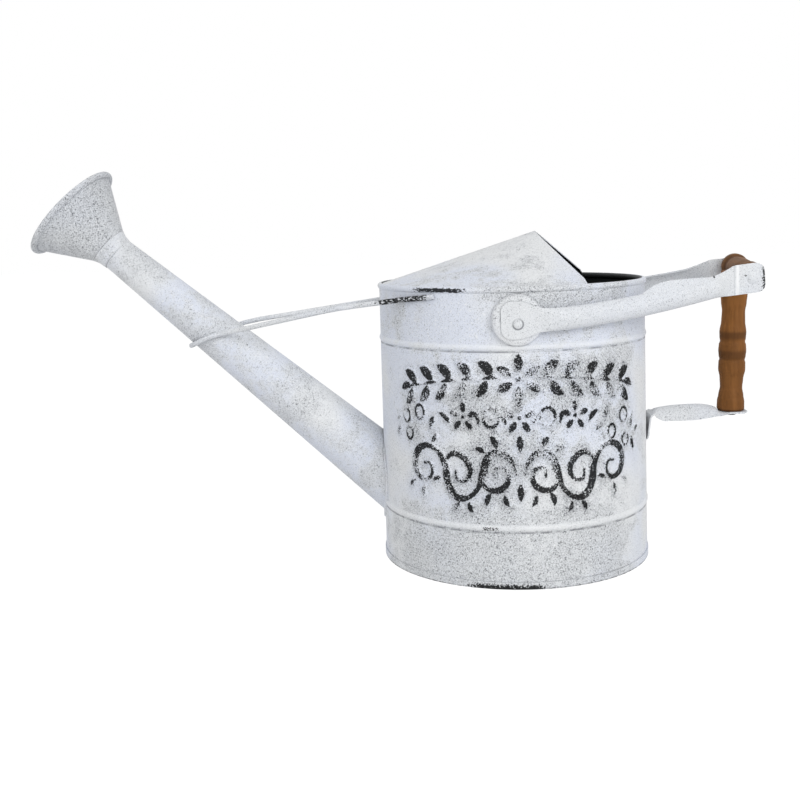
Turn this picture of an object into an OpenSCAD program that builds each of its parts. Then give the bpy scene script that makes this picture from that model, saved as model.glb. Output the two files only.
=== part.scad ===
// Garden watering can of painted sheet steel: a round body with a half hood over
// the mouth, a long tapered spout with a rose, a wire brace, and a riveted handle
// with two turned wooden grips.
// Frame: the body's axis is Z and the base rests on Z = 0. The spout points to -X,
// the handle to +X, and "front" is the -Y side.

/* [Body] */
// Outside radius of the can wall
body_r = 102; // [85:0.5:125]
// Height from the floor to the top of the rolled rim
body_h = 212.4; // [175:0.1:255]
// Thickness of the sheet metal
sheet_t = 0.8; // [0.6:0.1:1]
// Radius of the rolled rim's section
rim_roll_r = 2.3; // [1.6:0.1:3]
// How far the two swaged beads stand out of the wall
bead_proud = 0.9; // [0.6:0.1:2]
// Radius of a bead's section
bead_r = 2.8; // [2.4:0.1:4]
// Height of the lower bead above the floor
lower_bead_z = 43; // [30:1:50]
// Drop from the rim's top to the upper bead
upper_bead_drop = 42.2; // [38:0.1:54]
// Height of the folded band round the foot
foot_band_h = 5; // [4:0.5:8]
// How far the foot band stands out of the wall
foot_band_t = 0.8; // [0.5:0.1:1.2]
// Height of the base plate above the floor
base_recess = 4; // [3:0.5:8]

/* [Hood] */
// Rise of the hood's peak above the rim's top
hood_rise = 36.8; // [26:0.1:46]
// Place of the peak along X, past the body's axis
hood_peak_x = 19.5; // [5:0.5:30]
// Half the angle of the mouth, between the hood's two feet on the rim
hood_foot_angle = 55; // [46:0.5:75]
// How far the hood sits turned off the spout's line, in degrees
hood_turn = -5; // [-6:0.5:6]
// How far past the peak the sheet's cone would close
hood_cone_extra = 14; // [8:1:24]

/* [Spout] */
// Height of the spout's axis where it meets the wall
spout_root_z = 64.4; // [54:0.1:80]
// Rise of the spout above level, in degrees
spout_angle = 40.24; // [34:0.01:48]
// Length of the spout's axis from the wall to the rose
spout_length = 275.5; // [220:0.5:330]
// Outside radius of the spout at the wall
spout_root_r = 24.4; // [20:0.1:29]
// Outside radius of the spout at the rose
spout_tip_r = 13.4; // [11:0.1:16]
// Width of the lip soldered to the wall
spout_lip_w = 4; // [2:0.5:6]
// How far the lip stands out past the wall's beads
spout_lip_t = 0.4; // [0.3:0.1:1]

/* [Rose] */
// Tilt of the rose's axis above level, in degrees
rose_angle = 44; // [36:0.5:52]
// Distance from the spout's end to the middle of the rose's rolled edge
rose_length = 44.5; // [36:0.5:54]
// Outside radius of the rose over its rolled edge
rose_r = 42.9; // [36:0.1:51]
// Radius of the rolled edge's section
rose_roll_r = 2.4; // [2:0.1:3]
// How far the perforated face bulges
rose_dome = 5; // [3:0.5:8]
// Number of rings of holes round the middle one
rose_rings = 4; // [2:1:4]
// Radius of one hole in the face
rose_hole_r = 1.1; // [0.8:0.1:1.4]

/* [Brace wire] */
// Radius of the wire
wire_r = 1.9; // [1.6:0.1:2.2]
// Drop from the rolled rim to the wire's front end on the wall
wire_end_drop = 0.3; // [0.2:0.1:5.2]
// Fall of the wire along the wall, as a slope
wire_wall_slope = 0.13; // [0.06:0.01:0.16]
// Fall of the front strand between the wall and the spout, as a slope
wire_slope = 0.214; // [0.175:0.001:0.26]
// Fall of the loop round the spout, as a slope
wire_loop_slope = 0.45; // [0.3:0.01:0.55]
// How much lower the back end sits on the wall
wire_back_drop = 4.7; // [0:0.1:6]
// Fall of the straight back strand, as a slope
wire_back_slope = 0.122; // [0.1:0.001:0.17]
// Angle on the wall, from -X, where each wire end stops
wire_end_angle = 56; // [50:1:64]

/* [Handle] */
// Drop from the rolled rim to the top of each ear
ear_drop = 0.3; // [0.2:0.1:7]
// Radius of the cup-shaped ear
ear_r = 18; // [15:0.5:21]
// How far the ear's face stands out past the wall
ear_proud = 4.6; // [3.9:0.1:7]
// Radius of the ear rivet's shank
rivet_r = 1.9; // [1.5:0.1:2.4]
// Drop of the rivet below the middle of the ear
rivet_drop = 2.6; // [0:0.1:4]
// Thickness of the pressed steel strip
strip_t = 1.2; // [1:0.1:1.6]
// Width of an arm where it is half round
arm_w = 15.8; // [13.2:0.1:18.8]
// Depth of an arm's half-round channel
arm_depth = 6.6; // [5:0.1:8]
// How far the front arm's top edge flares up past the wall
arm_flare = 5.2; // [0:0.1:6.5]
// Width of an arm's flattened pad on the ear
arm_pad_w = 26; // [22:0.5:31]
// Width of an arm's flattened tab on the top grip
arm_tab_w = 21.8; // [18.2:0.1:26]
// How far the crimp at the tab's fold stands out
tab_crimp = 0.9; // [0:0.1:1.2]
// Reach of the top grip's axis past the wall, at the front end
grip_reach = 73.6; // [58:0.1:98]
// Rise of the top grip's front end above the ears' middle
grip_rise = 21.7; // [14:0.1:30]
// How much higher the grip's back end sits, from a bent arm
grip_twist_z = 6; // [0:0.5:7.5]
// How much further out the grip's back end sits, from a bent arm
grip_twist_x = 3.6; // [0:0.2:4.2]
// How much higher the back arm's tab sits than the front one's
tab_twist_z = 1.6; // [0:0.1:3]

/* [Grips] */
// Length of the top grip between the two tabs
top_grip_l = 76.4; // [60:0.2:91]
// Largest radius of both turned grips
grip_r = 10.4; // [9:0.1:12.4]
// Height of the lower strut's top face, where the rear grip stands
strut_top_z = 106.4; // [89:0.1:127]
// Place of the rear grip's foot along X, from the top grip's front end
rear_grip_x = -7.4; // [-9:0.1:5]
// Lean of the rear grip away from the body, in degrees
rear_grip_lean = 2; // [0:0.1:4]
// Radius of the long screw in the rear grip
long_screw_r = 2; // [1.5:0.1:2.5]
// Radius of the two screws in the ends of the top grip
end_screw_r = 1.9; // [1.5:0.1:2.4]

/* [Lower strut] */
// Width of the strut where it is channelled
strut_w = 17; // [14.5:0.5:20]
// Depth of the strut's channel
strut_depth = 13.3; // [8:0.1:15.9]
// Sag of the channel's edges below its two flat ends
strut_sag = 8; // [0:0.1:9.6]
// Width of the strut's flattened foot and tab
strut_pad_w = 24; // [20:0.5:28.5]
// Drop of the foot down the wall
strut_foot_h = 17; // [12:0.5:30]
// How far the foot leans out from the wall at its top
strut_lean = 2.4; // [0.5:0.1:4]

/* [Hidden] */
$fn = 96;

// Named clearances
solder_gap = 0.05;
shank_gap = 0.15;
wood_gap = 0.1;
tip_gap = 0.5;

// Colours of the paint, the bare dark steel and the wood
paint = [0.83, 0.84, 0.86];
dark_steel = [0.16, 0.16, 0.17];
wood = [0.53, 0.35, 0.19];

// Body
body_in_r = body_r - sheet_t;
rim_r = body_r - 1;
rim_z = body_h - rim_roll_r;
rim_under_z = body_h - 2 * rim_roll_r;
upper_bead_z = body_h - upper_bead_drop;

// Spout: its radius falls evenly along the axis, and it starts inside the wall
spout_taper = (spout_root_r - spout_tip_r) / spout_length;
spout_start = -40;
spout_over = 12;
spout_end = [-body_r - spout_length * cos(spout_angle), 0,
    spout_root_z + spout_length * sin(spout_angle)];

function spout_r_at(s) = spout_root_r - spout_taper * s;

// Rose
rose_neck_r = spout_tip_r + sheet_t;
rose_neck_l = 2.5;
rose_roll_at = rose_r - rose_roll_r;
rose_face_r = rose_roll_at - 1;
rose_face_flat = 3.5;
rose_dome_r = rose_face_r - rose_face_flat;
rose_hole_pitch = (rose_dome_r - 3) / (rose_rings + 0.35);

// Ears and rivets
ear_z = rim_under_z - ear_drop - ear_r;
ear_face = body_r + ear_proud;
ear_t = 1;
rivet_z = ear_z - rivet_drop;
rivet_head_r = rivet_r + 1.7;
rivet_head_h = 1.7;
rivet_tail_h = 1;

// Handle: front and back ends of the top grip's axis
grip_half = top_grip_l / 2;
grip_front = [body_r + grip_reach, -grip_half, ear_z + grip_rise];
grip_back = grip_front + [grip_twist_x, top_grip_l, grip_twist_z];
grip_mid = (grip_front + grip_back) / 2;
grip_dir = (grip_back - grip_front) / norm(grip_back - grip_front);
tab_reach = 8.4;
tab_fold_back = 11;
tab_fold_x = grip_front[0] - tab_fold_back;
tab_z = grip_front[2] + 0.4;
screw_head_r = 5.3;
screw_head_h = 1.6;
end_screw_l = 22;

// Rear grip: its axis leans about its foot on the strut
rear_dir = [sin(rear_grip_lean), 0, cos(rear_grip_lean)];
rear_foot = [grip_front[0] + rear_grip_x, 0, strut_top_z];
rear_foot_r = grip_r - 0.9;
rear_len = (grip_mid[2] - strut_top_z) / cos(rear_grip_lean);
long_head_r = 4;
long_head_h = 2.2;
screw_bite = 5;

// Small tools

function ramp(x, a, b) = let (u = max(0, min(1, (x - a) / (b - a)))) u * u * (3 - 2 * u);

function mix(a, b, u) = a + (b - a) * u;

function unit(v) = v / norm(v);

// A slope that starts at x0, with its corner rounded over a width of 2 w
function bend(x, x0, w) =
    x <= x0 - w ? 0 :
    x >= x0 + w ? x - x0 :
    pow(x - x0 + w, 2) / (4 * w);

// What a rounded corner of radius r takes off at a distance u from the end
function corner(u, r) = u >= r ? 0 : r - sqrt(max(0, r * r - pow(r - u, 2)));

// Section of a pressed strip: half the width, the channel's depth, the thickness.
// The strip's back edges lie on Y = 0 and the channel bulges to +Y.
// A flare lifts the edge at the section's start, over the first few degrees.
strip_steps = 12;
strip_start = 7;
flare_spread = 25;
// Depth of a strip where it is pressed flat
flat_depth = 0.02;
function strip_point(half, depth, a) = [half * cos(a), depth * sin(a)];
function strip_normal(half, depth, a) = unit([cos(a) / half, sin(a) / depth]);
function strip_section(half, depth, t, flare = 0) =
    let (
        d = max(depth, flat_depth),
        h = half / cos(strip_start),
        angles = [for (i = [0:strip_steps])
            strip_start + (180 - 2 * strip_start) * i / strip_steps],
        lift = [for (a = angles) [flare * max(0, 1 - (a - strip_start) / flare_spread), t]]
    )
    concat(
        [for (i = [0:strip_steps]) strip_point(h, d, angles[i]) + lift[i]],
        [for (i = [strip_steps:-1:0]) let (a = angles[i])
            strip_point(h, d, a) + lift[i] - t * strip_normal(h, d, a)]
    );

// A closed skin over a list of rings, each with the same number of points
module skin(rings) {
    n = len(rings[0]);
    m = len(rings);
    points = [for (ring = rings) each ring];
    sides = [for (i = [0:m - 2], j = [0:n - 1]) each
        let (k = (j + 1) % n, a = i * n + j, b = i * n + k, c = a + n, d = b + n)
        [[a, c, b], [b, c, d]]];
    first = [for (j = [0:n - 1]) j];
    last = [for (j = [n - 1:-1:0]) (m - 1) * n + j];
    polyhedron(points, concat(sides, [first, last]), convexity = 6);
}

// Places children with their Z axis along v
module along(v) {
    rotate([0, acos(v[2] / norm(v)), atan2(v[1], v[0])])
        children();
}

module ring(r_out, r_in, h) {
    difference() {
        cylinder(h = h, r = r_out);
        translate([0, 0, -1])
            cylinder(h = h + 2, r = r_in);
    }
}

// Body

module rim_roll() {
    translate([0, 0, rim_z])
        rotate_extrude()
            translate([rim_r, 0])
                circle(r = rim_roll_r, $fn = 32);
}

module bead_line(z, r) {
    translate([body_r + bead_proud - bead_r, z])
        circle(r = r, $fn = 48);
}

module wall_section() {
    difference() {
        union() {
            translate([body_in_r, 0])
                square([sheet_t, rim_z]);
            translate([body_in_r, 0])
                square([sheet_t + foot_band_t, foot_band_h]);
            for (z = [lower_bead_z, upper_bead_z])
                intersection() {
                    bead_line(z, bead_r);
                    translate([body_in_r, z - bead_r])
                        square([sheet_t + bead_proud, 2 * bead_r]);
                }
        }
        for (z = [lower_bead_z, upper_bead_z])
            bead_line(z, bead_r - sheet_t);
    }
}

// The wall's outside as a solid block, for pieces that seat against it
module wall_block() {
    rotate_extrude()
        union() {
            square([body_r, body_h]);
            for (z = [lower_bead_z, upper_bead_z])
                bead_line(z, bead_r);
        }
}

module body_shell() {
    color(paint)
        difference() {
            union() {
                rotate_extrude()
                    wall_section();
                rim_roll();
            }
            on_spout()
                spout_bore();
        }
}

// The base is a shallow pan: its turned-down edge is soldered inside the wall
module base_plate() {
    color(paint)
        union() {
            translate([0, 0, base_recess])
                cylinder(h = sheet_t, r = body_in_r);
            translate([0, 0, sheet_t])
                ring(body_in_r, body_in_r - sheet_t, base_recess);
        }
}

// Hood: a sheet on a cone that closes just past the peak, cut by the mouth's plane.
// Its lower edge ends on the rolled rim.

hood_base_z = rim_z + 0.4 * rim_roll_r;
hood_peak = [hood_peak_x, 0, body_h + hood_rise];
hood_toe = [-rim_r, 0, hood_base_z];
hood_apex = hood_peak + hood_cone_extra * unit(hood_peak - hood_toe);
// The mouth's plane meets the rim a little before the sheet's last edge
hood_cut_angle = hood_foot_angle - 1.5;
hood_foot = [rim_r * cos(hood_cut_angle), rim_r * sin(hood_cut_angle), hood_base_z];
mouth_normal = unit([hood_peak[2] - hood_foot[2], 0, hood_foot[0] - hood_peak[0]]);
hood_steps = 80;

function hood_base(a) = [rim_r * cos(a), rim_r * sin(a), hood_base_z];
function hood_edge(a) =
    let (b = hood_base(a), g = hood_apex - b)
    b + g * ((hood_peak - b) * mouth_normal) / (g * mouth_normal);
function hood_normal(a) = unit(cross([-sin(a), cos(a), 0], hood_apex - hood_base(a)));
// Where a line from p along the unit vector u comes out of the rolled rim
function roll_exit(p, u) =
    let (
        reach = norm([p[0], p[1]]),
        side = reach - rim_r,
        up = p[2] - rim_z,
        u_side = (u[0] * p[0] + u[1] * p[1]) / reach,
        k = pow(u_side, 2) + pow(u[2], 2),
        h = side * u_side + up * u[2],
        over = pow(side, 2) + pow(up, 2) - pow(rim_roll_r + solder_gap, 2)
    )
    p + u * (sqrt(h * h - k * over) - h) / k;
function hood_ring(a) =
    let (
        n = hood_normal(a) * sheet_t,
        b = hood_base(a),
        u = unit(hood_apex - b)
    )
    [roll_exit(b, u), hood_edge(a), hood_edge(a) - n, roll_exit(b - n, u)];

module hood() {
    color(paint)
        rotate(hood_turn)
            skin([for (i = [0:hood_steps])
                hood_ring(mix(hood_foot_angle, 360 - hood_foot_angle, i / hood_steps))]);
}

// Spout

module on_spout() {
    translate([-body_r, 0, spout_root_z])
        rotate([0, spout_angle - 90, 0])
            children();
}

module spout_cone(grow, length) {
    translate([0, 0, spout_start])
        cylinder(h = length - spout_start,
            r1 = spout_r_at(spout_start) + grow, r2 = spout_r_at(length) + grow);
}

module spout_bore() {
    spout_cone(-sheet_t, spout_length + 2 * spout_over);
}

module spout() {
    color(paint)
        difference() {
            union() {
                on_spout()
                    spout_cone(0, spout_length + spout_over);
                intersection() {
                    on_spout()
                        spout_cone(spout_lip_w, spout_over);
                    cylinder(h = body_h, r = body_r + bead_proud + spout_lip_t);
                }
            }
            wall_block();
            on_spout()
                spout_bore();
            on_rose()
                cylinder(h = 4 * spout_over, r = 4 * spout_tip_r);
        }
}

// Rose

module on_rose() {
    translate(spout_end)
        rotate([0, rose_angle - 90, 0])
            children();
}

module rose_section() {
    r_edge = rose_roll_at - 0.5 * rose_roll_r;
    polygon([
        [rose_neck_r - sheet_t * 1.5, 0],
        [rose_neck_r, 0],
        [rose_neck_r, rose_neck_l],
        [r_edge + sheet_t, rose_length],
        [r_edge - 0.4, rose_length],
        [rose_neck_r - sheet_t * 1.5, rose_neck_l + 0.5]
    ]);
}

module rose_cone() {
    color(paint)
        on_rose()
            difference() {
                union() {
                    rotate_extrude()
                        rose_section();
                    translate([0, 0, rose_length])
                        rotate_extrude()
                            translate([rose_roll_at, 0])
                                circle(r = rose_roll_r, $fn = 32);
                }
                translate([0, 0, rose_length - solder_gap])
                    cylinder(h = sheet_t + 2 * solder_gap, r = rose_face_r + solder_gap);
            }
}

module rose_face() {
    ball_r = (pow(rose_dome_r, 2) + pow(rose_dome, 2)) / (2 * rose_dome);
    color(paint)
        on_rose()
            translate([0, 0, rose_length])
                difference() {
                    rotate_extrude()
                        union() {
                            translate([rose_dome_r - 0.3, 0])
                                square([rose_face_flat + 0.3, sheet_t]);
                            difference() {
                                intersection() {
                                    translate([0, rose_dome - ball_r])
                                        circle(r = ball_r + sheet_t, $fn = 180);
                                    square([rose_dome_r, rose_dome + 2]);
                                }
                                translate([0, rose_dome - ball_r])
                                    circle(r = ball_r, $fn = 180);
                            }
                        }
                    rose_holes();
                }
}

module rose_holes() {
    cylinder(h = 2 * rose_dome, r = rose_hole_r, $fn = 24);
    for (k = [1:rose_rings])
        for (i = [1:6 * k])
            rotate(60 * i / k + 13 * k)
                translate([k * rose_hole_pitch, 0, -1])
                    cylinder(h = 2 * rose_dome, r = rose_hole_r, $fn = 24);
}

// Brace wire: one wire, from the wall's front side round under the spout and back.
// Seen from above it lies on the wall, runs straight, and loops round the spout.

wire_wall_r = body_r + wire_r + solder_gap;
wire_end_z = rim_under_z - wire_end_drop - wire_r;
wire_end_x = -wire_wall_r * cos(wire_end_angle);
wire_knee_x = -body_r - 30;
wire_knee_w = 14;
// Distance past the wall at which the front strand's line crosses the spout's axis
wire_cross = (wire_end_z - wire_wall_slope * (wire_end_x + body_r)
    - (wire_slope - wire_wall_slope) * (wire_knee_x + body_r) - spout_root_z)
    / (tan(spout_angle) + wire_slope);
// The loop dips more steeply, from a little past that crossing
wire_loop_lead = -2;
wire_dip_x = wire_loop_lead - body_r - wire_cross;
wire_dip_w = 6;
wire_loop_at = wire_cross - wire_loop_lead * (wire_loop_slope - wire_slope)
    / (tan(spout_angle) + wire_loop_slope);
wire_loop_x = -body_r - wire_loop_at;
wire_hug_gap = 0.5;
wire_hug_r = spout_r_at(wire_loop_at / cos(spout_angle)) + wire_r + wire_hug_gap;
wire_loop_a = wire_hug_r * cos(atan(wire_loop_slope))
    / sin(spout_angle + atan(wire_loop_slope));
wire_off_angle = 39;
wire_leave = [-wire_wall_r * cos(wire_off_angle), -wire_wall_r * sin(wire_off_angle)];
wire_loop_start = 70;
wire_wall_steps = 8;
wire_leg_steps = 12;
wire_loop_steps = 28;
wire_sides = 12;

function wire_loop_point(a) =
    [wire_loop_x + wire_loop_a * cos(a), -wire_hug_r * sin(a)];
// The front half of the route in plan, from the wire's end to the loop's far point
function wire_half() = concat(
    [for (i = [0:wire_wall_steps - 1])
        let (a = mix(wire_end_angle, wire_off_angle, i / wire_wall_steps))
        [-wire_wall_r * cos(a), -wire_wall_r * sin(a)]],
    [for (i = [0:wire_leg_steps - 1])
        mix(wire_leave, wire_loop_point(wire_loop_start), i / wire_leg_steps)],
    [for (i = [0:wire_loop_steps / 2])
        wire_loop_point(mix(wire_loop_start, 180, 2 * i / wire_loop_steps))]
);
function wire_height(x) =
    wire_end_z - wire_wall_slope * (wire_end_x - x)
        - (wire_slope - wire_wall_slope) * bend(-x, -wire_knee_x, wire_knee_w)
        - (wire_loop_slope - wire_slope) * bend(-x, -wire_dip_x, wire_dip_w);
function wire_back_height(x) =
    mix(wire_end_z - wire_back_drop - wire_back_slope * (wire_end_x - x), wire_height(x),
        ramp(wire_loop_x - x, -1.6 * wire_loop_a, 0.8 * wire_loop_a));
function wire_route() =
    let (half = wire_half(), n = len(half))
    concat(
        [for (p = half) [p[0], p[1], wire_height(p[0])]],
        [for (i = [n - 2:-1:0]) let (p = half[i]) [p[0], -p[1], wire_back_height(p[0])]]
    );
function wire_ring(path, i) =
    let (
        n = len(path),
        t = unit(path[min(i + 1, n - 1)] - path[max(i - 1, 0)]),
        side = unit(cross(t, [0, 0, 1])),
        up = cross(side, t)
    )
    [for (j = [0:wire_sides - 1])
        path[i] + wire_r * (cos(360 * j / wire_sides) * side
            + sin(360 * j / wire_sides) * up)];

module brace_wire() {
    route = wire_route();
    color(paint)
        skin([for (i = [0:len(route) - 1]) wire_ring(route, i)]);
}

// Ears: pressed cups with their open side soldered to the wall

module ear_cup() {
    edge = 3;
    translate([0, 0, ear_z])
        rotate([90, 0, 0])
            rotate_extrude()
                difference() {
                    polygon([
                        [0, body_r - 6], [ear_r, body_r - 6], [ear_r, ear_face - edge],
                        [ear_r - edge * 0.3, ear_face - edge * 0.3],
                        [ear_r - edge, ear_face], [0, ear_face]
                    ]);
                    polygon([
                        [-1, body_r - 7], [ear_r - ear_t, body_r - 7],
                        [ear_r - ear_t, ear_face - edge],
                        [ear_r - edge, ear_face - ear_t], [-1, ear_face - ear_t]
                    ]);
                }
}

module front_ear() {
    difference() {
        ear_cup();
        wall_block();
        translate([0, 0, rivet_z])
            rotate([90, 0, 0])
                cylinder(h = 2 * body_r, r = rivet_r + shank_gap);
    }
}

module ear_front() {
    color(paint)
        front_ear();
}

module ear_back() {
    color(paint)
        mirror([0, 1, 0])
            front_ear();
}

// Rivets: a domed head outside the arm's pad and a flat tail inside the ear

module front_rivet() {
    translate([0, -ear_face, rivet_z])
        rotate([90, 0, 0])
            union() {
                translate([0, 0, strip_t + flat_depth])
                    low_dome(rivet_head_r, rivet_head_h);
                translate([0, 0, -ear_t - rivet_tail_h / 2])
                    cylinder(h = ear_t + strip_t + rivet_tail_h, r = rivet_r);
                translate([0, 0, -ear_t - rivet_tail_h])
                    cylinder(h = rivet_tail_h, r = rivet_head_r - 0.4);
            }
}

// The top slice of a ball: it stands h proud over a circle of radius r
module low_dome(r, h) {
    ball_r = (r * r + h * h) / (2 * h);
    intersection() {
        translate([0, 0, h - ball_r])
            sphere(r = ball_r);
        cylinder(h = h + 1, r = r + 1);
    }
}

module ear_rivet_front() {
    color(paint)
        front_rivet();
}

module ear_rivet_back() {
    color(paint)
        mirror([0, 1, 0])
            front_rivet();
}

// Arms: a strip pressed half round, flattened to a pad on the ear and to a tab on
// the top grip

arm_start = -11.5;
// Seen from above, the arm's straight run clears the wall by this much
arm_clear = 3.6;
arm_run_a = atan2(grip_half, tab_fold_x)
    + acos((body_r + arm_clear) / norm([tab_fold_x, grip_half]));
arm_bend_x = max(ear_r + 4,
    (body_r + arm_clear - ear_face * sin(arm_run_a)) / cos(arm_run_a));
arm_bend_w = 7;
tab_fold_w = 2.5;
tab_crimp_w = 3.4;
arm_rise_x = 20;
arm_pad_corner = 7;
arm_tab_corner = 6;
arm_curve = 1.6;
// Share of an arm's rise that comes before its tab
arm_rise_share = 0.9;

arm_slope = (ear_face - grip_half) / (tab_fold_x - arm_bend_x);
function arm_y(x) =
    -ear_face + arm_slope * (bend(x, arm_bend_x, arm_bend_w) - bend(x, tab_fold_x, tab_fold_w))
        - tab_crimp * (1 - ramp(abs(x - tab_fold_x), 0, tab_crimp_w));
function arm_rise(x, end_x) =
    arm_rise_share
        * pow(max(0, min(1, (x - arm_rise_x) / (tab_fold_x - arm_rise_x))), arm_curve)
        + (1 - arm_rise_share) * ramp(x, tab_fold_x - 4, end_x + 4);
function arm_at(x, end_x, tab_z) =
    [x, arm_y(x), mix(ear_z, tab_z, arm_rise(x, end_x))];
function arm_width(x) =
    mix(mix(arm_pad_w, arm_w, ramp(x, 0, 19)), arm_tab_w,
        ramp(x, tab_fold_x - 22, tab_fold_x + 2));
function arm_channel(x) =
    arm_depth * ramp(x, 11, 34) * (1 - ramp(x, tab_fold_x - 26, tab_fold_x - 2));

// The front arm's top edge flares up where it comes clear of the wall
flare_start = body_r - 10;
flare_end = tab_fold_x - 22;
flare_top = mix(flare_start, flare_end, 0.3);
function arm_flare_at(x) =
    x <= flare_start || x >= flare_end ? 0 :
    x < flare_top ? sqrt(1 - pow((flare_top - x) / (flare_top - flare_start), 2)) :
    1 - pow((x - flare_top) / (flare_end - flare_top), 1.5);

function arm_ring(x, end_x, tab_z, flare) =
    let (
        p = arm_at(x, end_x, tab_z),
        t = unit(arm_at(x + 0.5, end_x, tab_z) - arm_at(x - 0.5, end_x, tab_z)),
        flat = unit([t[0], t[1], 0]),
        up = unit([0, 0, 1] - t * t[2]),
        out = cross(flat, [0, 0, 1]),
        trim = corner(x - arm_start, arm_pad_corner)
            + corner(end_x - x, arm_tab_corner),
        section = strip_section(arm_width(x) / 2 - trim, arm_channel(x), strip_t,
            flare * arm_flare_at(x))
    )
    [for (s = section) p + s[0] * up + s[1] * out];

// Stations along an arm: close together at its two ends and over the tab's fold
function arm_stations(end_x) =
    let (pad_x = arm_bend_x - arm_bend_w, run_x = tab_fold_x - tab_crimp_w,
        tab_x = tab_fold_x + tab_crimp_w)
    concat(
        [for (i = [0:11]) mix(arm_start, pad_x, 1 - cos(90 * i / 12))],
        [for (i = [0:27]) mix(pad_x, run_x, i / 28)],
        [for (i = [0:9]) mix(run_x, tab_x, i / 10)],
        [for (i = [0:10]) mix(tab_x, end_x, sin(90 * i / 10))]
    );

module front_arm(grip_x, grip_z, tab_z, flare) {
    end_x = grip_x + tab_reach;
    difference() {
        skin([for (x = arm_stations(end_x)) arm_ring(x, end_x, tab_z, flare)]);
        translate([0, 0, rivet_z])
            rotate([90, 0, 0])
                cylinder(h = 2 * body_r, r = rivet_r + shank_gap);
        translate([grip_x, 0, grip_z])
            rotate([90, 0, 0])
                cylinder(h = 2 * grip_half, r = end_screw_r + 4 * shank_gap);
    }
}

module arm_front() {
    color(paint)
        front_arm(grip_front[0], grip_front[2], tab_z, arm_flare);
}

module arm_back() {
    color(paint)
        mirror([0, 1, 0])
            front_arm(grip_back[0], grip_back[2], tab_z + tab_twist_z, 0);
}

// Turned grips

// Smooth curve through stations of [distance, radius], each pair eased
function turned(stations, steps) = [for (i = [0:len(stations) - 2], j = [0:steps - 1])
    let (a = stations[i], b = stations[i + 1], u = j / steps)
    [mix(a[1], b[1], ramp(u, 0, 1)), mix(a[0], b[0], u)]];

module turned_bar(stations) {
    last = stations[len(stations) - 1];
    rotate_extrude()
        polygon(concat([[0, stations[0][0]]], turned(stations, 4),
            [[last[1], last[0]], [0, last[0]]]));
}

top_spare = 3;
top_waist_r = grip_r - 0.9;
top_stations = let (l = norm(grip_back - grip_front)) [
    [-top_spare, grip_r - 2.8], [2, grip_r - 2.6], [9, grip_r - 0.2], [13, grip_r],
    [17, grip_r - 1.8], [19, grip_r - 1.8], [l / 2 - 9, top_waist_r],
    [l / 2 + 9, top_waist_r], [l - 19, grip_r - 1.8], [l - 17, grip_r - 1.8],
    [l - 13, grip_r], [l - 9, grip_r - 0.2], [l - 2, grip_r - 2.6],
    [l + top_spare, grip_r - 2.8]
];

// The middle of the top grip, which the rear grip's head is coped to
module grip_middle(grow) {
    translate(grip_front)
        along(grip_dir)
            translate([0, 0, grip_half - 16])
                cylinder(h = 32, r = top_waist_r + grow);
}

module top_grip() {
    color(wood)
        difference() {
            translate(grip_front)
                along(grip_dir)
                    turned_bar(top_stations);
            for (side = [-1, 1])
                translate([grip_mid[0] - 50, side * (grip_half + 5) - 5, grip_mid[2] - 50])
                    cube([100, 10, 100]);
            on_end_screw(grip_front, grip_dir)
                end_pilot();
            on_end_screw(grip_back, -grip_dir)
                end_pilot();
            on_rear_grip()
                cylinder(h = rear_len + screw_bite + tip_gap, r = long_screw_r);
        }
}

// A pilot hole runs a little past its screw's tip
module end_pilot() {
    translate([0, 0, -top_spare])
        cylinder(h = top_spare + end_screw_l + tip_gap, r = end_screw_r);
}

module on_end_screw(place, dir) {
    translate(place)
        along(dir)
            children();
}

// A screw with a wide, low domed head, painted over with the arm
module end_screw(place, dir, side) {
    head_at = place + [0, side * (strip_t + flat_depth), 0];
    union() {
        translate(head_at)
            rotate([side < 0 ? 90 : -90, 0, 0])
                low_dome(screw_head_r, screw_head_h);
        on_end_screw(place - strip_t * dir, dir)
            cylinder(h = end_screw_l + strip_t, r = end_screw_r);
    }
}

module top_grip_screw_front() {
    color(paint)
        end_screw(grip_front, grip_dir, -1);
}

module top_grip_screw_back() {
    color(paint)
        end_screw(grip_back, -grip_dir, 1);
}

// Outline of the rear grip at its pattern's length, stretched to the length it has
rear_pattern_l = 107.87;
rear_pattern = [
    [0, rear_foot_r], [1.4, grip_r - 0.1], [7, grip_r - 0.2], [11.5, grip_r - 1],
    [18, grip_r - 2.1], [25, grip_r - 1.6], [32, grip_r - 0.3], [37.5, grip_r - 0.4],
    [39.6, grip_r - 1], [42, grip_r - 0.4], [46.5, grip_r], [51, grip_r - 0.3],
    [53.6, grip_r - 1.1], [56.5, grip_r - 0.6], [61, grip_r - 0.4], [69, grip_r - 1.5],
    [77, grip_r - 1.8], [84, grip_r - 0.9], [90, grip_r - 0.4],
    [rear_pattern_l, grip_r - 0.3]
];
rear_stations = [for (s = rear_pattern) [s[0] * rear_len / rear_pattern_l, s[1]]];

module on_rear_grip() {
    translate(rear_foot)
        along(rear_dir)
            children();
}

module rear_grip() {
    color(wood)
        difference() {
            on_rear_grip()
                translate([0, 0, -1])
                    turned_bar([for (s = rear_stations) [s[0] + 1, s[1]]]);
            translate([rear_foot[0] - 50, -50, strut_top_z - 20])
                cube([100, 100, 20]);
            grip_middle(wood_gap);
            on_rear_grip()
                translate([0, 0, -2])
                    cylinder(h = rear_len + 10, r = long_screw_r + shank_gap);
        }
}

module rear_grip_screw() {
    color(dark_steel)
        union() {
            on_rear_grip()
                translate([0, 0, -strip_t - 0.5])
                    cylinder(h = rear_len + screw_bite + strip_t + 0.5, r = long_screw_r);
            translate([rear_foot[0], 0, strut_low - long_head_h])
                cylinder(h = long_head_h, r = long_head_r);
        }
}

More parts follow.
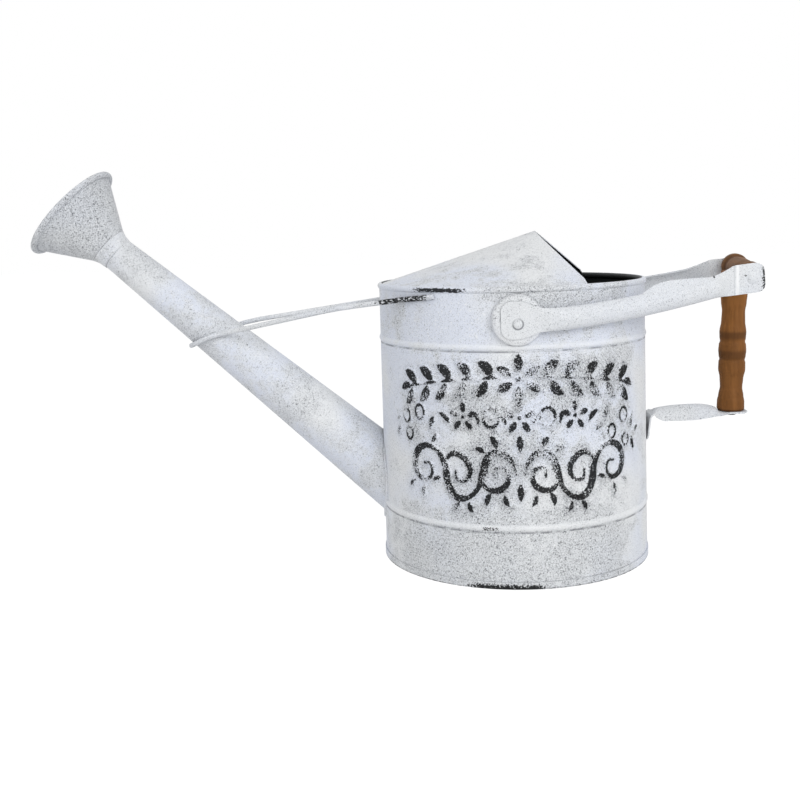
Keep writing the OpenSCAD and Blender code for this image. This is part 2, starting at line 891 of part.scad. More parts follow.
// Lower strut: a strip folded down against the wall at its foot, pressed to a deep
// channel with its open side down, and flattened under the rear grip

strut_root_x = body_r + strip_t + solder_gap + strut_lean;
strut_overhang = 2;
strut_end_x = rear_foot[0] + rear_foot_r + strut_overhang;
strut_flat_x = rear_foot[0] - rear_foot_r;
strut_steps = 34;
strut_flat_steps = 6;
strut_bend_r = 3;
strut_corner = 6;

// Route of the strip's under face: up the wall, round the fold, then out
strut_run = strut_end_x - strut_root_x - strut_bend_r;
strut_foot_a = atan2(strut_foot_h, strut_lean);
strut_arc = 90 * PI / 180 * strut_bend_r;
strut_low = strut_top_z - strip_t - flat_depth;
strut_total = strut_foot_h + strut_arc + strut_run;
strut_flat_s = strut_total - (strut_end_x - strut_flat_x);
function strut_place(s) =
    s < strut_foot_h ? [strut_root_x - strut_lean * (1 - s / strut_foot_h),
        strut_low - strut_bend_r - strut_foot_h + s] :
    s < strut_foot_h + strut_arc ?
        let (a = 90 * (s - strut_foot_h) / strut_arc)
        [strut_root_x + strut_bend_r * (1 - cos(a)), strut_low - strut_bend_r * (1 - sin(a))] :
    [strut_root_x + strut_bend_r + s - strut_foot_h - strut_arc, strut_low];
function strut_heading(s) =
    strut_foot_a * (1 - max(0, min(1, (s - strut_foot_h) / strut_arc)));
// A lens along the strut: 0 at its start and its end, 1 at its peak
function lens(x, start, peak, end) =
    x <= start || x >= end ? 0 :
    let (u = x < peak ? (peak - x) / (peak - start) : (x - peak) / (end - peak))
    sqrt(1 - u * u);
strut_lead = 1.4;
strut_start_x = strut_root_x + strut_lead;
// Shares of the run at which the crown peaks and the sag ends
strut_crown_share = 0.66;
strut_sag_share = 0.5;
strut_crown_x = mix(strut_start_x, strut_flat_x, strut_crown_share);
// The edges stay low past the crown, and come up under the grip
strut_under_grip = 7;
strut_sag_x = mix(strut_start_x, strut_flat_x, strut_sag_share);
strut_rise_x = strut_flat_x + strut_under_grip;
function strut_drop(x) =
    strut_sag * (x < strut_sag_x ? ramp(x, strut_start_x - 5, strut_start_x + 10) :
        1 - pow(max(0, min(1, (x - strut_sag_x) / (strut_rise_x - strut_sag_x))), 2));
function strut_channel(x) =
    strut_drop(x) + (strut_depth - strut_sag) * lens(x, strut_start_x, strut_crown_x, strut_flat_x);

function strut_ring(s) =
    let (
        place = strut_place(s),
        x = place[0],
        a = strut_heading(s),
        on_run = s > strut_foot_h + strut_arc,
        depth = on_run ? strut_channel(x) : 0,
        p = [x, 0, place[1] - (on_run ? strut_drop(x) : 0)],
        out = [-sin(a), 0, cos(a)],
        w = mix(strut_pad_w, strut_w, min(1, depth / strut_depth)) / 2
            - corner(s, strut_corner) - corner(strut_total - s, strut_corner),
        section = strip_section(w, depth, strip_t)
    )
    [for (q = section) p + [0, q[0], 0] + q[1] * out];

// One ring stands where the flat under the grip begins
function strut_station(i) =
    i < strut_steps ? strut_flat_s * i / strut_steps :
    mix(strut_flat_s, strut_total, (i - strut_steps) / strut_flat_steps);

module lower_strut() {
    color(paint)
        difference() {
            skin([for (i = [0:strut_steps + strut_flat_steps])
                strut_ring(strut_station(i))]);
            translate([rear_foot[0], 0, strut_low - 1])
                cylinder(h = strip_t + 2, r = long_screw_r + 2 * shank_gap);
        }
}

body_shell();
base_plate();
hood();
spout();
rose_cone();
rose_face();
brace_wire();
ear_front();
ear_back();
arm_front();
arm_back();
ear_rivet_front();
ear_rivet_back();
top_grip();
top_grip_screw_front();
top_grip_screw_back();
rear_grip();
rear_grip_screw();
lower_strut();
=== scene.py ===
"""Looks for a painted sheet-steel watering can: white-wash, raised leaf ornament, wood and studio."""
import math

import bpy
import numpy as np
from mathutils import Matrix, Vector

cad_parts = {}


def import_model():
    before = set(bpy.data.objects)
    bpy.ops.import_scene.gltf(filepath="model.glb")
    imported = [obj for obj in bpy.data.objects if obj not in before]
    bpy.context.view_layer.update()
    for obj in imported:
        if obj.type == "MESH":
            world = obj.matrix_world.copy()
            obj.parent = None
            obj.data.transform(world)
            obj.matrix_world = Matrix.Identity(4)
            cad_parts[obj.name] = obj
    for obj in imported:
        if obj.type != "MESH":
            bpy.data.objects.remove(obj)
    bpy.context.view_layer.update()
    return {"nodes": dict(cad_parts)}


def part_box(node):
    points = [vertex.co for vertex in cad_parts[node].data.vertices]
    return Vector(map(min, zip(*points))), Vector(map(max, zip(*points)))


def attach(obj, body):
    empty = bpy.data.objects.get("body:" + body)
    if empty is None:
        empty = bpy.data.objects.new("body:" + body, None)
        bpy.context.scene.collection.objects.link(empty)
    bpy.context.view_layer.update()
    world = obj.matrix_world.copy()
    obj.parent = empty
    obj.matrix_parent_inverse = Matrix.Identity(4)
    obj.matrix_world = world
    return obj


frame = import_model()
nodes = frame["nodes"]

MM = 0.001

# Sizes taken from the frame, in metres
BASE_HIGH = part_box("base_plate")[1]
SHELL_LOW, SHELL_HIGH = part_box("body_shell")
SHEET = 0.8 * MM
WALL_R = BASE_HIGH.x + SHEET
RIM_TOP = SHELL_HIGH.z
UPPER_BEAD_Z = RIM_TOP - 42.2 * MM
LOWER_BEAD_Z = 43 * MM

# Where the front arm's tab has its crease, its two dots and the chips at its end, as x or (x, z)
TAB_CRIMP_X = 164 * MM
TAB_DOT = (170 * MM, 212.5 * MM)
NECK_DOT = (144.6 * MM, 212.7 * MM)
TAB_CHIPS_X = (178.5 * MM, 184 * MM)


# Colours

def srgb(red, green, blue):
    """A colour written as 0 to 255, as the linear colour that a shader takes."""
    channels = [value / 255 for value in (red, green, blue)]
    return tuple(c / 12.92 if c <= 0.04045 else ((c + 0.055) / 1.055) ** 2.4 for c in channels) + (1.0,)


WHITE_PAINT = srgb(223, 225, 227)
BLUE_PAINT = srgb(215, 220, 231)
GREY_PAINT = srgb(196, 200, 205)
# White of the pale flecks, also used for the painted highlights on the beads and the tab's crease
FLECK_AND_HIGHLIGHT_WHITE = srgb(238, 239, 240)
# Grey of the pepper grains, also used for painted shade in corners and in thin dark lines
SPECK_AND_SHADE = srgb(70, 74, 82)
BARE = srgb(20, 20, 21)
INSIDE = srgb(40, 43, 44)
WOOD_LIGHT = srgb(150, 99, 50)
WOOD_MID = srgb(130, 84, 40)
WOOD_DARK = srgb(74, 45, 20)
WOOD_GREY = srgb(98, 80, 64)
STEEL_GREY = srgb(74, 74, 76)

# How fine each mark of the paint is: the scale of its noise, per metre
TINT_SCALE = 13
PATCH_SCALE = 24
INK_PATCH_SCALE = 55
CLOUD_SCALE = 80
FRESH_SCALE = 760
INK_SCALE = 950
GRAIN_SCALE = 980
RUB_SCALE = 1000
DASH_SCALE = 1250
DUST_SCALE = 1400

# How far each mark covers what is under it, from 0 to 1
GREY_COVER = 0.25
FRESH_COVER = 0.55
DUST_COVER = 0.40
GRAIN_COVER = 0.80
BARE_COVER = 0.96


# Material nodes

class Nodes:
    """A material's node tree, with a short call for each kind of node used here."""

    def __init__(self, name):
        self.material = bpy.data.materials.new(name)
        self.material.use_nodes = True
        self.tree = self.material.node_tree
        self.tree.nodes.clear()
        self.output = self.add("ShaderNodeOutputMaterial")
        self.shader = self.add("ShaderNodeBsdfPrincipled")
        self.tree.links.new(self.shader.outputs[0], self.output.inputs["Surface"])
        self.place = self.add("ShaderNodeTexCoord").outputs["Object"]
        axes = self.add("ShaderNodeSeparateXYZ", {0: self.place})
        self.x, self.y, self.z = axes.outputs

    def add(self, kind, inputs=None, **settings):
        node = self.tree.nodes.new(kind)
        for key, value in settings.items():
            setattr(node, key, value)
        for key, value in (inputs or {}).items():
            self.put(node.inputs[key], value)
        return node

    def put(self, socket, value):
        if isinstance(value, bpy.types.NodeSocket):
            self.tree.links.new(value, socket)
        else:
            socket.default_value = value

    def maths(self, operation, first, second=0.0, clamp=False):
        node = self.add("ShaderNodeMath", {0: first, 1: second}, operation=operation, use_clamp=clamp)
        return node.outputs[0]

    def times(self, first, second):
        return self.maths("MULTIPLY", first, second)

    def plus(self, first, second):
        return self.maths("ADD", first, second)

    def invert(self, value):
        return self.maths("SUBTRACT", 1.0, value)

    def rise(self, value, low, high):
        """0 below low, 1 above high, eased between."""
        node = self.add("ShaderNodeMapRange", {0: value, 1: low, 2: high}, interpolation_type="SMOOTHSTEP")
        return node.outputs[0]

    def between(self, value, low, high, soft):
        """1 from low to high, falling to 0 over soft on each side."""
        above_low = self.rise(value, low - soft, low)
        return self.times(above_low, self.invert(self.rise(value, high, high + soft)))

    def most(self, first, second):
        return self.maths("MAXIMUM", first, second)

    def corners(self, reach):
        """1 in tight corners between pieces, 0 on open surfaces."""
        node = self.add("ShaderNodeAmbientOcclusion", {"Distance": reach}, samples=8)
        return self.invert(self.rise(node.outputs["AO"], 0.25, 0.80))

    def flecks(self, scale, shift, cut, stretch=None, detail=2):
        """1 inside the grains of a noise that rise above the cut, with a crisp edge."""
        return self.rise(self.noise(scale, detail, 0.65, stretch, shift), cut, self.plus(cut, 0.04))

    def rubbed_through(self, amount, scale, shift, stretch=None):
        """Speckled wear: none where amount is under about 0.3, nearly all where it is 1."""
        return self.flecks(scale, shift, self.maths("SUBTRACT", 0.84, self.times(amount, 0.50)), stretch, 3)

    def noise(self, scale, detail=2.0, roughness=0.5, stretch=None, shift=0.0):
        place = self.place
        if stretch or shift:
            moved = {0: place, 1: (shift,) * 3, 3: stretch or (1, 1, 1)}
            place = self.add("ShaderNodeMapping", moved).outputs[0]
        inputs = {"Vector": place, "Scale": scale, "Detail": detail, "Roughness": roughness}
        return self.add("ShaderNodeTexNoise", inputs).outputs[0]

    def blend(self, amount, first, second):
        node = self.add("ShaderNodeMix", data_type="RGBA")
        self.put(node.inputs[0], amount)
        self.put(node.inputs[6], first)
        self.put(node.inputs[7], second)
        return node.outputs[2]

    def vector(self, operation, first, second=(0, 0, 0)):
        return self.add("ShaderNodeVectorMath", {0: first, 1: second}, operation=operation)

    def facing(self, direction):
        """How far the surface faces along a direction, from -1 to 1."""
        normal = self.add("ShaderNodeNewGeometry").outputs["Normal"]
        return self.vector("DOT_PRODUCT", normal, direction).outputs["Value"]

    def outward(self):
        """How far the surface faces away from the body's axis, from -1 to 1."""
        level = self.add("ShaderNodeCombineXYZ", {0: self.x, 1: self.y, 2: 0.0}).outputs[0]
        return self.facing(self.vector("NORMALIZE", level).outputs[0])

    def turn(self):
        """The angle round the body from the front towards the handle, in degrees."""
        angle = self.maths("ARCTAN2", self.x, self.times(self.y, -1.0))
        return self.times(angle, 180 / math.pi)

    def away_from(self, x, z):
        """The distance from a point, seen along Y."""
        across = self.add("ShaderNodeCombineXYZ", {0: self.plus(self.x, -x), 1: self.plus(self.z, -z)})
        return self.vector("LENGTH", across.outputs[0]).outputs["Value"]

    def painted(self, name):
        """A value that a mesh carries at each of its points."""
        return self.add("ShaderNodeAttribute", attribute_name=name).outputs["Fac"]

    def bump(self, height, depth):
        node = self.add("ShaderNodeBump", {"Height": height, "Distance": depth})
        self.put(self.shader.inputs["Normal"], node.outputs[0])


# White-wash

def whitewash(name, worn=0.0, pepper=1.0, corner_shade=1.0, highlight_strength=0.25, cleaner=None, wear=None, streaks=None,
              highlight=None, shade_line=None, inside=None, ink=False):
    """Thin white paint over dark steel: clean patches, pepper between them, painted shade in the corners, and
    wear rubbed through to black. worn takes the clean patches away as it nears 1, corner_shade is how dark
    the painted shade in the corners is, and highlight_strength is how strong the painted highlight is. ink is
    for the ornament's panel, with its two painted values. The rest are functions that take the nodes and
    return a mask: cleaner (where there are more clean patches), wear, streaks (wear in dashes), highlight
    (where the painted highlight lies), shade_line (a thin dark outline of painted shade) and inside."""
    n = Nodes(name)
    cloud = n.noise(CLOUD_SCALE, 3, 0.6, shift=1.7)
    uneven = n.rise(cloud, 0.4, 0.6)
    clean = clean_patches(n, cloud, worn, cleaner)
    density = pepper_density(n, clean, pepper, highlight, ink)
    grains = n.flecks(GRAIN_SCALE, 9.4, n.maths("SUBTRACT", 0.70, n.times(density, 0.105)))
    dust = n.flecks(DUST_SCALE, 4.3, n.maths("SUBTRACT", 0.62, n.times(density, 0.105)))
    bare = rubbed_bare(n, wear, streaks, ink)
    colour = tinted_white(n, clean)
    colour = n.blend(n.times(n.flecks(FRESH_SCALE, 6.1, 0.60), FRESH_COVER), colour, FLECK_AND_HIGHLIGHT_WHITE)
    colour = n.blend(n.times(dust, DUST_COVER), colour, SPECK_AND_SHADE)
    colour = n.blend(n.times(grains, GRAIN_COVER), colour, SPECK_AND_SHADE)
    # Painted highlight in white, along the beads and the tab's crease
    if highlight:
        colour = n.blend(n.times(highlight(n), highlight_strength), colour, FLECK_AND_HIGHLIGHT_WHITE)
    # Painted shade in thin dark lines, under the beads and round the handle's rivets and crease
    if shade_line:
        colour = n.blend(n.times(shade_line(n), n.plus(0.12, n.times(uneven, 0.5))), colour, SPECK_AND_SHADE)
    # Painted shade in tight corners and along the joins between pieces
    colour = painted_corner_shade(n, colour, uneven, corner_shade)
    colour = n.blend(n.times(bare, BARE_COVER), colour, BARE)
    if inside:
        colour = n.blend(inside(n), colour, INSIDE)
    n.put(n.shader.inputs["Base Color"], colour)
    n.put(n.shader.inputs["Roughness"], n.plus(0.55, n.times(n.maths("ADD", grains, bare, True), 0.3)))
    n.put(n.shader.inputs["Specular IOR Level"], n.times(n.maths("SUBTRACT", 1.0, bare), 0.3))
    n.bump(n.plus(n.times(grains, -0.6), n.times(cloud, 0.7)), 0.3 * MM)
    return n.material


def clean_patches(n, cloud, worn, cleaner):
    patches = n.plus(n.noise(PATCH_SCALE, 4, 0.65), n.times(cloud, 0.5))
    if cleaner:
        patches = n.plus(patches, cleaner(n))
    return n.times(n.rise(patches, 0.66, 0.86), 1.0 - worn)


def pepper_density(n, clean, pepper, highlight, ink):
    """How close the dark grains lie: closer where the paint isn't clean, and round the ornament."""
    density = n.times(n.plus(0.35, n.times(n.invert(clean), 0.65)), pepper)
    # Fewer grains where the painted highlight lies
    if highlight:
        density = n.times(density, n.invert(n.times(highlight(n), 0.6)))
    if ink:
        density = n.plus(density, n.times(n.painted("halo"), 0.45))
    return density


def tinted_white(n, clean):
    """White with a cold blue tint in places, and greyer where it isn't clean."""
    tint = n.rise(n.noise(TINT_SCALE, 2, 0.5, shift=3.1), 0.38, 0.58)
    colour = n.blend(n.times(tint, n.plus(0.35, n.times(clean, 0.65))), WHITE_PAINT, BLUE_PAINT)
    return n.blend(n.times(n.invert(clean), GREY_COVER), colour, GREY_PAINT)


def painted_corner_shade(n, colour, uneven, corner_shade):
    """Painted shade in the corners, found by ambient occlusion: a wide uneven band and a narrow line."""
    wide_shade = n.times(n.corners(3.5 * MM), n.plus(0.3, n.times(uneven, 0.7)))
    colour = n.blend(n.times(wide_shade, 0.5 * corner_shade), colour, SPECK_AND_SHADE)
    return n.blend(n.times(n.corners(1.2 * MM), 0.55 * corner_shade), colour, SPECK_AND_SHADE)


def rubbed_bare(n, wear, streaks, ink):
    """Where the paint is rubbed through to the dark steel."""
    bare = n.rubbed_through(wear(n), RUB_SCALE, 5.3) if wear else 0.0
    if streaks:
        bare = n.most(bare, n.rubbed_through(streaks(n), DASH_SCALE, 5.9, (0.35, 0.35, 0.9)))
    if ink:
        strong = n.plus(0.66, n.times(n.rise(n.noise(INK_PATCH_SCALE, 2, 0.5, shift=2.2), 0.36, 0.56), 0.34))
        bare = n.most(bare, n.rubbed_through(n.times(n.painted("relief"), strong), INK_SCALE, 7.7))
    return bare


# Where the paint is worn or dark

def near_turn(n, low, high, soft):
    """1 between two angles round the body, in degrees from the front towards the handle."""
    return n.between(n.turn(), low, high, soft)


def front_only(n):
    return n.invert(n.rise(n.y, -20 * MM, -10 * MM))


def body_cleaner(n):
    """The left and the right edge are cleaner, and the wall's foot is more peppered."""
    top_left = n.times(n.rise(n.z, UPPER_BEAD_Z, UPPER_BEAD_Z + 4 * MM), near_turn(n, -100, -20, 10))
    right = near_turn(n, 60, 90, 12)
    left = n.times(near_turn(n, -95, -58, 12), n.rise(n.z, 48 * MM, 60 * MM))
    foot = n.times(n.invert(n.rise(n.z, 50 * MM, 62 * MM)), near_turn(n, -45, 40, 12))
    return n.plus(n.times(n.most(top_left, n.most(left, right)), 0.16), n.times(foot, -0.14))


def body_wear(n):
    """Wear at the foot, along its hem, and in a tick on the lower bead."""
    foot = n.times(n.invert(n.rise(n.z, 0.6 * MM, 7.5 * MM)), near_turn(n, -16, 4, 14))
    hem = n.times(n.invert(n.rise(n.z, 0.3 * MM, 1.3 * MM)), 0.7)
    tick = n.times(n.between(n.z, 42.2 * MM, 43.6 * MM, 1.4 * MM), near_turn(n, -14, -10, 3))
    return n.most(n.most(foot, hem), n.times(tick, 0.75))


def rim_streaks(n):
    """Dashes along the rim, thick in the middle and thinning out at both ends."""
    across = n.between(n.z, RIM_TOP - 3.0 * MM, RIM_TOP - 1.6 * MM, 2.4 * MM)
    return n.times(n.times(across, near_turn(n, -38, -26, 15)), 0.98)


def along_beads(n, low, high, soft):
    """A band along each of the two beads, from low to high about its middle."""
    return n.most(n.between(n.z, UPPER_BEAD_Z + low, UPPER_BEAD_Z + high, soft),
                  n.between(n.z, LOWER_BEAD_Z + low, LOWER_BEAD_Z + high, soft))


def bead_highlights(n):
    """A painted highlight along each bead, most of it on the bead's upper half."""
    return along_beads(n, -0.8 * MM, 1.8 * MM, 1.2 * MM)


def bead_shadows(n):
    """Painted shadow: a dark line under each bead."""
    return along_beads(n, -3.2 * MM, -2.6 * MM, 0.7 * MM)


def body_inside(n):
    return n.invert(n.rise(n.outward(), -0.5, -0.15))


def wire_streaks(n):
    along = n.between(n.x, -92 * MM, -70 * MM, 22 * MM)
    return n.times(n.times(along, 0.85), front_only(n))


def hood_inside(n):
    return n.invert(n.rise(n.facing((0, 0, 1)), -0.25, 0.0))


def spot(n, place, radius):
    """A round spot on the front of the handle."""
    edge = 0.3 * MM
    return n.times(n.invert(n.rise(n.away_from(*place), radius - edge, radius + edge)), front_only(n))


def tab_wear(n):
    """Chips at the tabs' ends and two dark dots on the front arm."""
    chips = n.times(n.rise(n.x, *TAB_CHIPS_X), 0.9)
    return n.most(chips, n.most(spot(n, TAB_DOT, 0.9 * MM), spot(n, NECK_DOT, 0.8 * MM)))


def crimp_highlight(n):
    """A painted highlight along the crease where the front arm's tab is crimped."""
    crease = n.between(n.x, TAB_CRIMP_X - 0.5 * MM, TAB_CRIMP_X + 0.5 * MM, 1.2 * MM)
    return n.times(crease, front_only(n))


def handle_shade_lines(n):
    """Painted shade: thin dark lines round each ear rivet and beside the crease of the tab."""
    beside = n.between(n.x, TAB_CRIMP_X - 2.6 * MM, TAB_CRIMP_X - 2.2 * MM, 0.6 * MM)
    return n.most(rivet_shadow_ring(n), n.times(n.times(beside, front_only(n)), 0.25))


def rivet_shadow_ring(n):
    # Painted shadow in a thin ring round the ear rivets' heads
    low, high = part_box("ear_rivet_front")
    radius = (high.x - low.x) / 2
    reach = n.away_from((low.x + high.x) / 2, (low.z + high.z) / 2)
    return n.between(reach, radius - 0.5 * MM, radius + 0.4 * MM, 0.3 * MM)


# Wood and steel

def wood(name, along, dark_bands, lower=0.0, grey=0.0):
    """Stained turned wood: grain along an axis, and bands where the stain lies darker.
    along is "Y" or "Z"; dark_bands are (place, width) along it, in metres; below the height lower the
    stain is deeper; grey is how weathered it is, from 0 to 1."""
    n = Nodes(name)
    stretch = (1, 0.1, 1) if along == "Y" else (1, 1, 0.1)
    grain = n.noise(240, 3, 0.6, stretch=stretch)
    fibre = n.noise(950, 2, 0.6, stretch=stretch, shift=2.0)
    tone = n.noise(26, 2, 0.5, shift=4.0)
    colour = n.blend(n.rise(grain, 0.38, 0.64), WOOD_MID, WOOD_LIGHT)
    colour = n.blend(n.times(n.rise(tone, 0.45, 0.72), 0.35), colour, WOOD_DARK)
    colour = n.blend(n.times(n.rise(fibre, 0.55, 0.75), 0.35), colour, WOOD_DARK)
    if lower:
        below = n.invert(n.rise(n.z, lower - 12 * MM, lower + 12 * MM))
        colour = n.blend(n.times(below, 0.40), colour, WOOD_DARK)
    if grey:
        rings = n.noise(60, 3, 0.6, stretch=(3, 0.4, 3), shift=6.5)
        colour = n.blend(n.times(n.rise(rings, 0.42, 0.58), grey), colour, WOOD_DARK)
        colour = n.blend(grey, colour, WOOD_GREY)
    place = n.y if along == "Y" else n.z
    for centre, width in dark_bands:
        band = n.between(place, centre - width / 4, centre + width / 4, width * 0.6)
        colour = n.blend(n.times(band, n.plus(0.35, n.times(tone, 0.5))), colour, WOOD_DARK)
    n.put(n.shader.inputs["Base Color"], colour)
    n.shader.inputs["Roughness"].default_value = 0.6
    n.shader.inputs["Specular IOR Level"].default_value = 0.15
    n.bump(n.plus(grain, n.times(fibre, 0.5)), 0.2 * MM)
    return n.material


def dark_steel(name):
    n = Nodes(name)
    colour = n.blend(n.rise(n.noise(300, 3, 0.6), 0.35, 0.7), BARE, STEEL_GREY)
    n.put(n.shader.inputs["Base Color"], colour)
    n.shader.inputs["Metallic"].default_value = 0.6
    n.put(n.shader.inputs["Roughness"], n.plus(0.4, n.times(n.noise(500, 2), 0.2)))
    return n.material


# Ornament: strokes on the wall's front, as rows of (arc, height, half width) in millimetres

def curve(points, step=0.4):
    """A smooth line through the points."""
    points = np.array(points, float)
    padded = np.vstack([2 * points[0] - points[1], points, 2 * points[-1] - points[-2]])
    rows = []
    for i in range(len(points) - 1):
        a, b, c, d = padded[i:i + 4]
        count = max(2, int(np.linalg.norm((c - b)[:2]) / step))
        t = (np.arange(count) / count)[:, None]
        rows.append(0.5 * (2 * b + (c - a) * t + (2 * a - 5 * b + 4 * c - d) * t ** 2
                           + (3 * b - a - 3 * c + d) * t ** 3))
    return np.vstack(rows + [points[-1:]])


def leaf(u, z, degrees, length, half, bend=0.12):
    """A pointed stroke from (u, z) along a direction, bent to its left."""
    t = np.linspace(0, 1, max(8, int(length / 0.4)))
    angle = math.radians(degrees)
    side = bend * length * np.sin(math.pi * t)
    return np.column_stack([
        u + length * t * math.cos(angle) - side * math.sin(angle),
        z + length * t * math.sin(angle) + side * math.cos(angle),
        half * np.sin(math.pi * np.clip(t, 0.03, 0.97)) ** 0.8])


def ring(u, z, across, up, half):
    a = np.linspace(0, 2 * math.pi, 48)
    return np.column_stack([u + across * np.cos(a), z + up * np.sin(a), np.full(a.size, half)])


def flower(u, z, petals, reach, petal, middle):
    """Petals round a dot; petal and middle are half widths."""
    rows = [np.array([[u, z, middle]])]
    for i in range(petals):
        a = math.radians(90 + 360 * i / petals)
        rows.append(leaf(u + 0.35 * reach * math.cos(a), z + 0.35 * reach * math.sin(a),
                         math.degrees(a), reach * 0.95, petal, 0.0))
    return rows


def widened(rows):
    return rows * np.array([1, 1, 1.18])


def mirrored(strokes):
    """The strokes and their copies on the other side of the middle."""
    return strokes + [row * np.array([-1, 1, 1]) for row in strokes]


def garland():
    """A leafy arch over the other rows, with a flower at its crown."""
    crown, drop, reach = 149.5, 11, 92

    def arch(u):
        return crown - drop * (u / reach) ** 2

    strokes = []
    for i in range(5):
        u = 18 + 15.2 * i
        twig = [(u - 5, arch(u - 5), 0.7), (u + 2, arch(u) + 0.5, 2.0), (u + 8, arch(u + 8), 0.7)]
        strokes.append(curve(twig))
        slope = math.degrees(math.atan(-2 * drop * u / reach ** 2))
        strokes.append(leaf(u, arch(u) + 0.6, slope + 50, 15.0, 4.2))
        strokes.append(leaf(u + 4, arch(u + 4) - 0.6, slope - 48, 15.5, 4.0, -0.12))
    strokes.append(leaf(83, arch(83), -16, 13, 3.4))
    return mirrored(strokes) + flower(0, 148.5, 6, 13.5, 3.7, 2.8)


def middle_row():
    """Flowers, rings and leaves in a row."""
    strokes = [ring(19.5, 121.5, 5.2, 6.6, 1.8), np.array([[19.5, 121.5, 2.0]])]
    strokes += flower(39.5, 121.5, 5, 8.6, 2.6, 2.0)
    strokes += [leaf(9.5, 116, 62, 10, 2.2), leaf(28.5, 116, 72, 11, 2.2), leaf(50, 116, 42, 12, 2.6)]
    return mirrored(strokes) + flower(0, 121.5, 5, 9.4, 2.9, 2.0)


def scrolls():
    """A wavy stem with a curl in each of its bends, mirrored about the middle."""
    stem = [(3, 82, 1.1), (6, 91, 2.1), (14, 97, 2.9), (22, 93, 3.1), (26, 82, 2.7), (30, 71, 1.9),
            (38, 64, 2.1), (47, 65, 2.9), (52.5, 74, 3.1), (54, 85, 2.7), (60, 95, 2.0), (69, 99, 2.2),
            (78, 95, 2.8), (82, 86, 2.9), (79, 77, 2.5), (71, 74, 2.0), (65.5, 79, 1.6), (67, 86, 1.4),
            (72.5, 86, 1.2)]
    inner = [(27.5, 77, 1.3), (22, 71, 2.0), (14, 71, 2.4), (8.5, 77, 2.1), (10, 85, 1.7), (17, 86, 1.4),
             (17.5, 80, 1.2)]
    outer = [(54.5, 89, 1.3), (48, 95, 2.1), (40, 93, 2.5), (35, 85, 2.2), (38, 77, 1.8), (45, 76.5, 1.5),
             (46, 83, 1.2)]
    strokes = [widened(curve(stem)), widened(curve(inner)), widened(curve(outer))]
    strokes += [leaf(16, 99, 64, 11, 2.8), leaf(23, 96, 22, 10, 2.4), leaf(36, 62, -108, 9, 2.4),
                leaf(43, 61, -60, 9, 2.4), leaf(66, 101, 118, 9, 2.3), leaf(20, 69, -72, 11, 2.6),
                leaf(11, 68, -112, 10, 2.3), leaf(57, 77, -25, 9, 2.2), leaf(72, 70, -82, 10, 2.4),
                leaf(81, 72, -40, 9, 2.3)]
    middle = [leaf(0, 97, 90, 13, 3.0, 0.0), leaf(0, 76, -90, 14, 2.9, 0.0)]
    return mirrored(strokes) + middle


def sprigs():
    """Berries and small leaves at the two ends."""
    left = [ring(-90, 118.4, 3.6, 4.8, 1.5), ring(-76, 122.4, 4.0, 5.2, 1.6), ring(-87, 105.8, 3.4, 4.4, 1.5),
            leaf(-102, 102, 60, 10, 2.7), leaf(-103, 113, 30, 7, 2.0), leaf(-66, 110, 70, 12, 2.5)]
    right = [ring(84, 117, 4.2, 5.4, 1.5), ring(71, 107, 3.6, 4.8, 1.6), ring(86, 99, 3.7, 4.4, 1.5),
             leaf(98, 90, 108, 11, 2.6), leaf(94, 106, 78, 11, 2.5), leaf(66, 116, 80, 12, 2.5),
             leaf(56, 109, 25, 9, 2.4), leaf(99, 102, 40, 7, 2.0)]
    return left + right


def stroke_depth(strokes, arc, height):
    """How deep each grid point lies inside the nearest stroke, in millimetres, negative outside."""
    far_outside = -9.0
    reach = 6.0
    depth = np.full(arc.shape, far_outside)
    for rows in strokes:
        low, high = rows[:, :2].min(0) - reach, rows[:, :2].max(0) + reach
        columns = np.where((arc[0] > low[0]) & (arc[0] < high[0]))[0]
        lines = np.where((height[:, 0] > low[1]) & (height[:, 0] < high[1]))[0]
        part = np.ix_(lines, columns)
        u, z = arc[part], height[part]
        best = depth[part]
        for cu, cz, half in rows:
            np.maximum(best, half - np.hypot(u - cu, z - cz), out=best)
        depth[part] = best
    return depth


def eased(values, low, high):
    """0 below low, 1 above high, eased between."""
    t = np.clip((values - low) / (high - low), 0, 1)
    return t * t * (3 - 2 * t)


# Pieces

def piece(name, points, faces, material):
    mesh = bpy.data.meshes.new(name)
    mesh.from_pydata([tuple(p) for p in points], [], [tuple(f) for f in faces])
    mesh.validate()
    mesh.update()
    mesh.polygons.foreach_set("use_smooth", [True] * len(mesh.polygons))
    made = bpy.data.objects.new(name, mesh)
    bpy.context.scene.collection.objects.link(made)
    made.data.materials.append(material)
    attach(made, "root")
    return made


# The ornament's panel, in millimetres along the wall's arc and in height
PANEL_ARC = (-116.0, 112.0)
PANEL_Z = (47.0, 167.0)
PANEL_STEP = 0.62
PANEL_PROUD = 0.05
PANEL_EDGE = 9.0
RELIEF = 1.5


